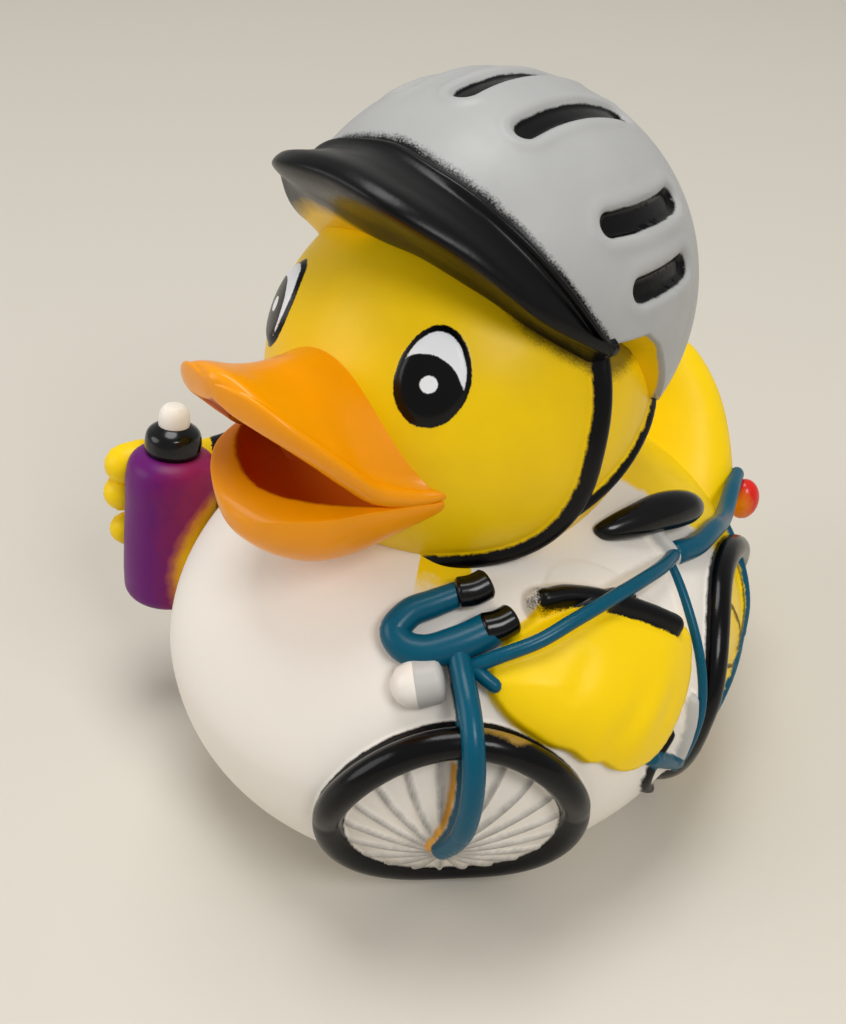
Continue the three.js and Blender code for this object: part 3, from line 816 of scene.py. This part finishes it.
def helmet():
    azimuth = np.arange(-180, 180, 0.6)
    part = np.concatenate([np.linspace(0.004, 0.97, 136), [0.985, 0.995]])
    rim = read(HELMET_RIM, np.abs(azimuth))
    latitude = 90 - part[:, None] * (90 - rim)
    A = np.broadcast_to(azimuth, latitude.shape).ravel()
    L = latitude.ravel()
    points = on_helmet(A, L, np.zeros(len(A)))
    vent = np.full(len(A), FAR)
    for side in (-1, 1):
        for first, last in SIDE_VENTS:
            line = np.linspace(first, last, 12) * [side, 1]
            vent = np.minimum(vent, distance(points, on_helmet(line[:, 0], line[:, 1], np.zeros(12)))[0])
    for x in (-TOP_VENT_SPACING, 0, TOP_VENT_SPACING):
        vent = np.minimum(vent, distance(points, over_top(x))[0])
    on_top = L > HELMET_TOP_LATITUDE
    slope = np.clip(VENT_RADIUS + 0.3 - vent, 0, 1)
    floor_depth = np.where(on_top, VENT_DEPTH["top"], VENT_DEPTH["side"]) * slope**2 * (3 - 2 * slope)
    raised_edge = np.where(on_top, VENT_EDGE["top"], VENT_EDGE["side"])
    raised_edge = raised_edge * np.exp(-(((vent - 2.5) / 0.7) ** 2))
    points = points + direction(A, L) * (raised_edge - floor_depth)[:, None]
    rings = points.reshape(latitude.shape + (3,))
    edge = on_helmet(azimuth, rim, np.full(len(azimuth), -0.6))
    inside = edge + (HEAD_CENTRE - edge) * 0.45
    rings = np.concatenate([rings, edge[None], inside[None]])
    above = (L - ease(CREASE, np.clip(A, -CREASE_END, CREASE_END))) * HELMET_DEGREE - 1.6
    above = above + np.clip(np.abs(A) - CREASE_END, 0, None)
    wall = np.concatenate([np.ones(len(A)), np.full(len(azimuth), 0.1), np.full(len(azimuth), -8.0)])
    hidden = np.ones(2 * len(azimuth))
    vent = np.concatenate([vent - VENT_RADIUS + np.where(on_top, 0.3, 0.15), hidden])
    marks = {"vent": vent, "peak": np.concatenate([above, hidden]), "wall": wall}
    paint = painted("helmet_paint", GREY, 0.38, [
        coat("vent", BLACK, 0.2, soft=0.08, ragged=0.05, specks=0.03),
        coat("peak", BLACK, 0.35, soft=0.45, ragged=0.15, specks=0.3),
        coat("wall", YELLOW, 0.4),
    ])
    make("helmet", loft(rings), paint, marks)


def visor():
    free = [(0, 40.7), (20, 37.8), (40, 30.8), (60, 16), (78, 4)]
    reach = [(0, 1), (20, 0.97), (40, 0.55), (60, 0.12), (78, 0.04)]
    rings = []
    for a in np.arange(-78, 78.1, 1.5):
        inner = np.clip(a, -CREASE_END, CREASE_END)
        crease, lip, out = (ease(table, inner) for table in (CREASE, free, reach))
        out = VISOR_REACH * out
        lip = lip + PEAK_FAR_RISE * np.exp(-(((a - PEAK_FAR_AZIMUTH) / PEAK_FAR_SPREAD) ** 2))
        under = on_head(BROW_TURN * a, ease(BROW, BROW_TURN * a), -0.6)
        edge = on_helmet(a, lip - 1.2, out - 1.1)
        section = [
            on_helmet(a, crease, -10.0),
            on_helmet(a, crease + 2.2, -0.1),
            on_helmet(a, crease + 0.7, 0.75),
            on_helmet(a, crease - 0.4, 0.75),
            on_helmet(a, crease - 2.4, 0.1 + 0.14 * out),
            on_helmet(a, 0.5 * (crease + lip), 0.45 * out + 0.35),
            on_helmet(a, lip + 3, 0.85 * out + 0.5),
            on_helmet(a, lip, out),
            edge,
            edge + 0.5 * (under - edge),
            under,
        ]
        rings.append(smooth(section, 96, closed=True))
    shape = loft(rings)
    turned = np.degrees(np.arctan2(shape[0][:, 0], HELMET_CENTRE[1] - shape[0][:, 1]))
    bare = np.linalg.norm(shape[0] - HEAD_CENTRE, axis=1) - HEAD_RADIUS - 3.4
    marks = {"under": bare + np.clip((turned + 22) * 0.25, 0, 9)}
    under_coat = coat("under", YELLOW, 0.4, soft=1.4, ragged=0.2, cover=0.85)
    paint = painted("visor_paint", BLACK, 0.32, [under_coat])
    make("visor", shape, paint, marks)


def right_arm():
    path = [
        (-17, 4, 35, 8.4), (-24, 0, 35, 8.4), (-29.5, -5.5, 33.8, 7.1), (-33.5, -10.5, 32.6, 6.2),
        (-37, -15, 31.8, 5.4), (-40, -18.5, 31.6, 3.6),
    ]
    cuff_place = path[3][:3]
    sides = 48
    line = smooth(path, 50)
    shape = sweep(line[:, :3], line[:, 3], sides, flat=ARM_FLATNESS)
    gap = (line[:, :3] - np.array(cuff_place)) @ ARM_HEADING
    round_end = len(ROUND_END)
    along = np.repeat(np.concatenate([[gap[0]] * round_end, gap, [gap[-1]] * round_end]), sides)
    marks = {"sleeve": along, "cuff": np.abs(along) - ARM_CUFF_HALF}
    paint = painted("arm_paint", BRIGHT_YELLOW, 0.42, [
        coat("sleeve", WHITE, 0.5),
        coat("cuff", BLACK, 0.3, ragged=0.25, specks=0.2),
    ])
    make("right_arm", shape, paint, marks)
    vinyl = painted("finger_vinyl", BRIGHT_YELLOW, 0.42)
    fingers = [(-41.2, -21, 35.6, 2.9), (-41.6, -21.8, 31.2, 2.7), (-40.8, -22.6, 25.8, 2.3)]
    for k, (x, y, z, r) in enumerate(fingers):
        line = np.array([x, y, z]) + np.linspace(-1, 1, 7)[:, None] * np.array([0.5, 1.2, 0.1])
        make(f"finger_{k}", sweep(line, r, 28), vinyl)


def bottle():
    top = BOTTLE_HEIGHT
    flask = smooth([
        (0, 0), (3, 0), (4.8, 0.2), (5.8, 1.2), (6.1, 3.5), (BOTTLE_RADIUS, 8), (BOTTLE_RADIUS, 15),
        (BOTTLE_RADIUS, top - 3.4), (5.6, top - 1.2), (4.2, top - 0.2), (3, top),
    ], 70)
    cap = smooth([
        (0, top - 0.8), (3.2, top - 0.6), (3.7, top + 0.3), (3.8, top + 1.6), (3.5, top + 2.9),
        (2.6, top + 3.7), (2, top + 4), (0, top + 4.1),
    ], 44)
    nozzle = smooth([
        (0, top + 3.4), (1.9, top + 3.6), (2.1, top + 4.6), (1.9, top + 5.9), (1.3, top + 6.7),
        (0, top + 6.9),
    ], 30)
    shape = spin(flask, BOTTLE_FOOT, BOTTLE_LEAN)
    turn = np.tile(np.linspace(0, 360, SPIN_SIDES, endpoint=False), len(flask))
    height = np.repeat(flask[:, 1], SPIN_SIDES)
    x, y, z = shape[0][:-2].T
    strip = np.hypot(x, y) - body_radius(np.degrees(np.arctan2(x, -y)), z) - 1.0
    marks = {
        "blush": 4 - BOTTLE_RADIUS * cosine(turn - 20) - 0.05 * height,
        "fringe": strip - 0.7,
        "strip": strip,
    }
    paint = painted("bottle_paint", PURPLE, 0.4, [
        coat("blush", MAGENTA, 0.4, soft=2.5, ragged=0.6, cover=0.8),
        coat("fringe", ORANGE, 0.4, soft=1.1, ragged=0.15, cover=0.85),
        coat("strip", BRIGHT_YELLOW, 0.4, soft=0.9, ragged=0.2),
    ])
    make("bottle", shape, paint, marks)
    cap_paint = painted("cap_paint", BLACK, 0.2, gloss=0.3)
    make("bottle_cap", spin(cap, BOTTLE_FOOT, BOTTLE_LEAN), cap_paint)
    nozzle_paint = painted("nozzle_paint", WHITE, 0.4)
    make("bottle_nozzle", spin(nozzle, BOTTLE_FOOT, BOTTLE_LEAN), nozzle_paint)


GOLD_SCUFF = [(49.5, 33.4, 3), (52.5, 32.9, 3.4), (55.5, 32, 3.4)]
GOLD_RADIUS = 1.6


def tyres():
    """Both tyres as round tubes, standing further off the body towards the top of the wheel."""
    turn = np.linspace(270, 630, 181)
    for end, radius in TYRE_RADIUS.items():
        pairs = wheel_pairs(WHEEL_AZIMUTH[end], turn, WHEEL_RADIUS[end])
        lift = np.interp(pairs[:, 1], [6, 20, 31], TYRE_LIFT[end])
        shape = sweep(on_body(pairs[:, 0], pairs[:, 1], lift), radius, 28)
        gold, _ = distance(shape[0], rail(GOLD_SCUFF, 12))
        gold_coat = coat("gold", GOLD, 0.4, soft=0.35, ragged=0.3, specks=0.1)
        paint = painted(f"{end}_tyre_paint", BLACK, 0.2, [gold_coat])
        make(f"{end}_tyre", shape, paint, {"gold": gold - GOLD_RADIUS})


def frame_tubes():
    paint = painted("frame_paint", BLUE, 0.28)
    tubes = {
        "fork": (FORK, FORK_RADIUS),
        "top_tube": (TOP_TUBE, TOP_TUBE_RADIUS),
        "down_stub": (DOWN_STUB, STUB_RADIUS),
        "seat_tube": (SEAT_TUBE, SEAT_TUBE_RADIUS),
    }
    for name, (triples, radius) in tubes.items():
        make(name, sweep(rail(triples), radius, 24), paint)


def handlebar():
    pairs = [
        (52, 39.7), (44, 38.9), (37.5, 38.4), (32.4, 38.8), (30.4, 39.7), (32.6, 40.8), (38.5, 41.6),
        (45, 42.2),
    ]
    blue = painted("bar_paint", BLUE, 0.3)
    make("handlebar", sweep(lay(pairs, 60, BAR_LIFT), np.linspace(*BAR_RADII, 60), 28), blue)
    black = painted("grip_paint", BLACK, 0.22, gloss=0.2)
    for k, (first, last) in enumerate([((51, 39.8), (57.8, 40.2)), ((45.2, 42.2), (52.6, 42.6))]):
        line = lay([first, ((first[0] + last[0]) / 2, first[1] + 0.1), last], 24, GRIP_LIFT)
        make(f"grip_{k}", sweep(line, GRIP_RADIUS, 24, nose=0.3), black)


def headlamp():
    shell = lay([(41, 36.4), (38.5, 36.2), (36.7, 36.05)], 12, HEADLAMP_LIFT)
    grey = painted("lamp_shell_paint", LAMP_GREY, 0.35)
    make("lamp_shell", sweep(shell, np.linspace(*HEADLAMP_RADII, 12), 40, nose=0.3), grey)
    lens = lay([(37.1, 36.1), (36.5, 36)], 6, HEADLAMP_LIFT)
    white = painted("lens_paint", WHITE, 0.3, gloss=0.2)
    make("lamp_lens", sweep(lens, LENS_RADIUS, 40), white)


def saddle():
    spine = [
        (98.2, 43.3, 0.4, 0.2), (99, 43.2, 0.5, 0.9), (106, 42.6, 1.2, 1.9), (114, 41.8, 2, 2.5),
        (121, 40.9, 2.5, 3), (126, 40.1, 2.7, 2.9), (130, 39.5, 2.6, 2.1), (132, 39.2, 2.5, 0.4),
    ]
    a, z, lift, radius = smooth(spine, 40).T
    place, out = body_frame(a, z)
    upward = body_frame(a, z + 0.5)[0] - place
    upward /= np.linalg.norm(upward, axis=1, keepdims=True)
    turn = np.linspace(0, 2 * np.pi, 40, endpoint=False)[:, None]
    middle = place + out * lift[:, None]
    rings = [
        middle[k] + radius[k] * (np.cos(turn) * upward[k] + SADDLE_FLATNESS * np.sin(turn) * out[k])
        for k in range(40)
    ]
    make("saddle", loft(rings), painted("saddle_paint", BLACK, 0.2, gloss=0.2))


def rack():
    on = on_body(np.array([116, 123, 133.0]), np.array([38.2, 37, 35.6]), np.array([0.6, 1, 1.2]))
    line = smooth([*on, (20.5, 31, 32.2), (16.8, 38.5, 31.6), (14.6, 43, 30.8)], 50)
    paint = painted("rack_paint", BLUE, 0.32)
    make("rack", sweep(line, np.linspace(*RACK_RADII, 50), 24), paint)


def rear_lamp():
    azimuth = np.linspace(0, 360, 32, endpoint=False)
    rings = [REAR_LAMP_PLACE + REAR_LAMP_RADII * direction(azimuth + 90, l) for l in np.linspace(-88, 88, 25)]
    shape = loft(rings)
    marks = {"glow": (shape[0] - REAR_LAMP_PLACE) @ GLOW_HEADING + 1.6}
    glow = coat("glow", ORANGE, 0.3, soft=0.9, ragged=0.2, cover=0.9)
    paint = painted("rear_lamp_paint", RED, 0.25, [glow], gloss=0.2)
    make("rear_lamp", shape, paint, marks)


def floor():
    mesh = bpy.data.meshes.new("floor")
    mesh.from_pydata([(-2, -2, 0), (2, -2, 0), (2, 2, 0), (-2, 2, 0)], [], [(0, 1, 2, 3)])
    ground = bpy.data.objects.new("floor", mesh)
    bpy.context.collection.objects.link(ground)
    material = bpy.data.materials.new("floor_paint")
    material.use_nodes = True
    shader = material.node_tree.nodes["Principled BSDF"]
    shader.inputs["Base Color"].default_value = FLOOR_BEIGE
    shader.inputs["Roughness"].default_value = 0.45
    mesh.materials.append(material)


def softbox(name, place, size, power):
    """A round lamp aimed at the duck; place and size are in metres, power in watts."""
    light = bpy.data.lights.new(name, "AREA")
    light.shape = "DISK"
    light.size = size
    light.energy = power
    lamp = bpy.data.objects.new(name, light)
    bpy.context.collection.objects.link(lamp)
    away = np.array(place) - np.array(LAMP_AIM)
    back = away / np.linalg.norm(away)
    right = np.cross([0, 1, 0.01], back)
    right /= np.linalg.norm(right)
    over = np.cross(back, right)
    turned = np.eye(4)
    turned[:3] = np.stack([right, over, back, place], axis=1)
    lamp.matrix_world = Matrix(turned.tolist())


def studio():
    world = bpy.data.worlds.new("studio")
    bpy.context.scene.world = world
    world.use_nodes = True
    world.node_tree.nodes["Background"].inputs["Color"].default_value = ROOM_COLOUR
    world.node_tree.nodes["Background"].inputs["Strength"].default_value = ROOM_STRENGTH
    softbox("key", place=(-0.1, 0.05, 0.95), size=0.5, power=4.4)
    softbox("fill", place=(-0.4, -0.6, 0.35), size=0.5, power=1.7)
    softbox("side", place=(0.55, -0.12, 0.6), size=0.28, power=2.3)
    bpy.context.scene.view_settings.view_transform = "Standard"


def camera():
    lens = bpy.data.cameras.new("camera")
    lens.sensor_fit = "VERTICAL"
    lens.sensor_height = 36
    lens.lens = CAMERA_LENS
    lens.clip_start = 0.005
    view = bpy.data.objects.new("camera", lens)
    bpy.context.collection.objects.link(view)
    place = np.eye(4)
    place[:3] = np.stack([CAMERA_RIGHT, CAMERA_UP, CAMERA_BACK, np.array(CAMERA_PLACE) * MM], axis=1)
    view.matrix_world = Matrix(place.tolist())
    bpy.context.scene.camera = view


camera()
floor()
studio()
body()
tail()
head()
beak()
helmet()
visor()
right_arm()
bottle()
tyres()
frame_tubes()
handlebar()
headlamp()
saddle()
rack()
rear_lamp()
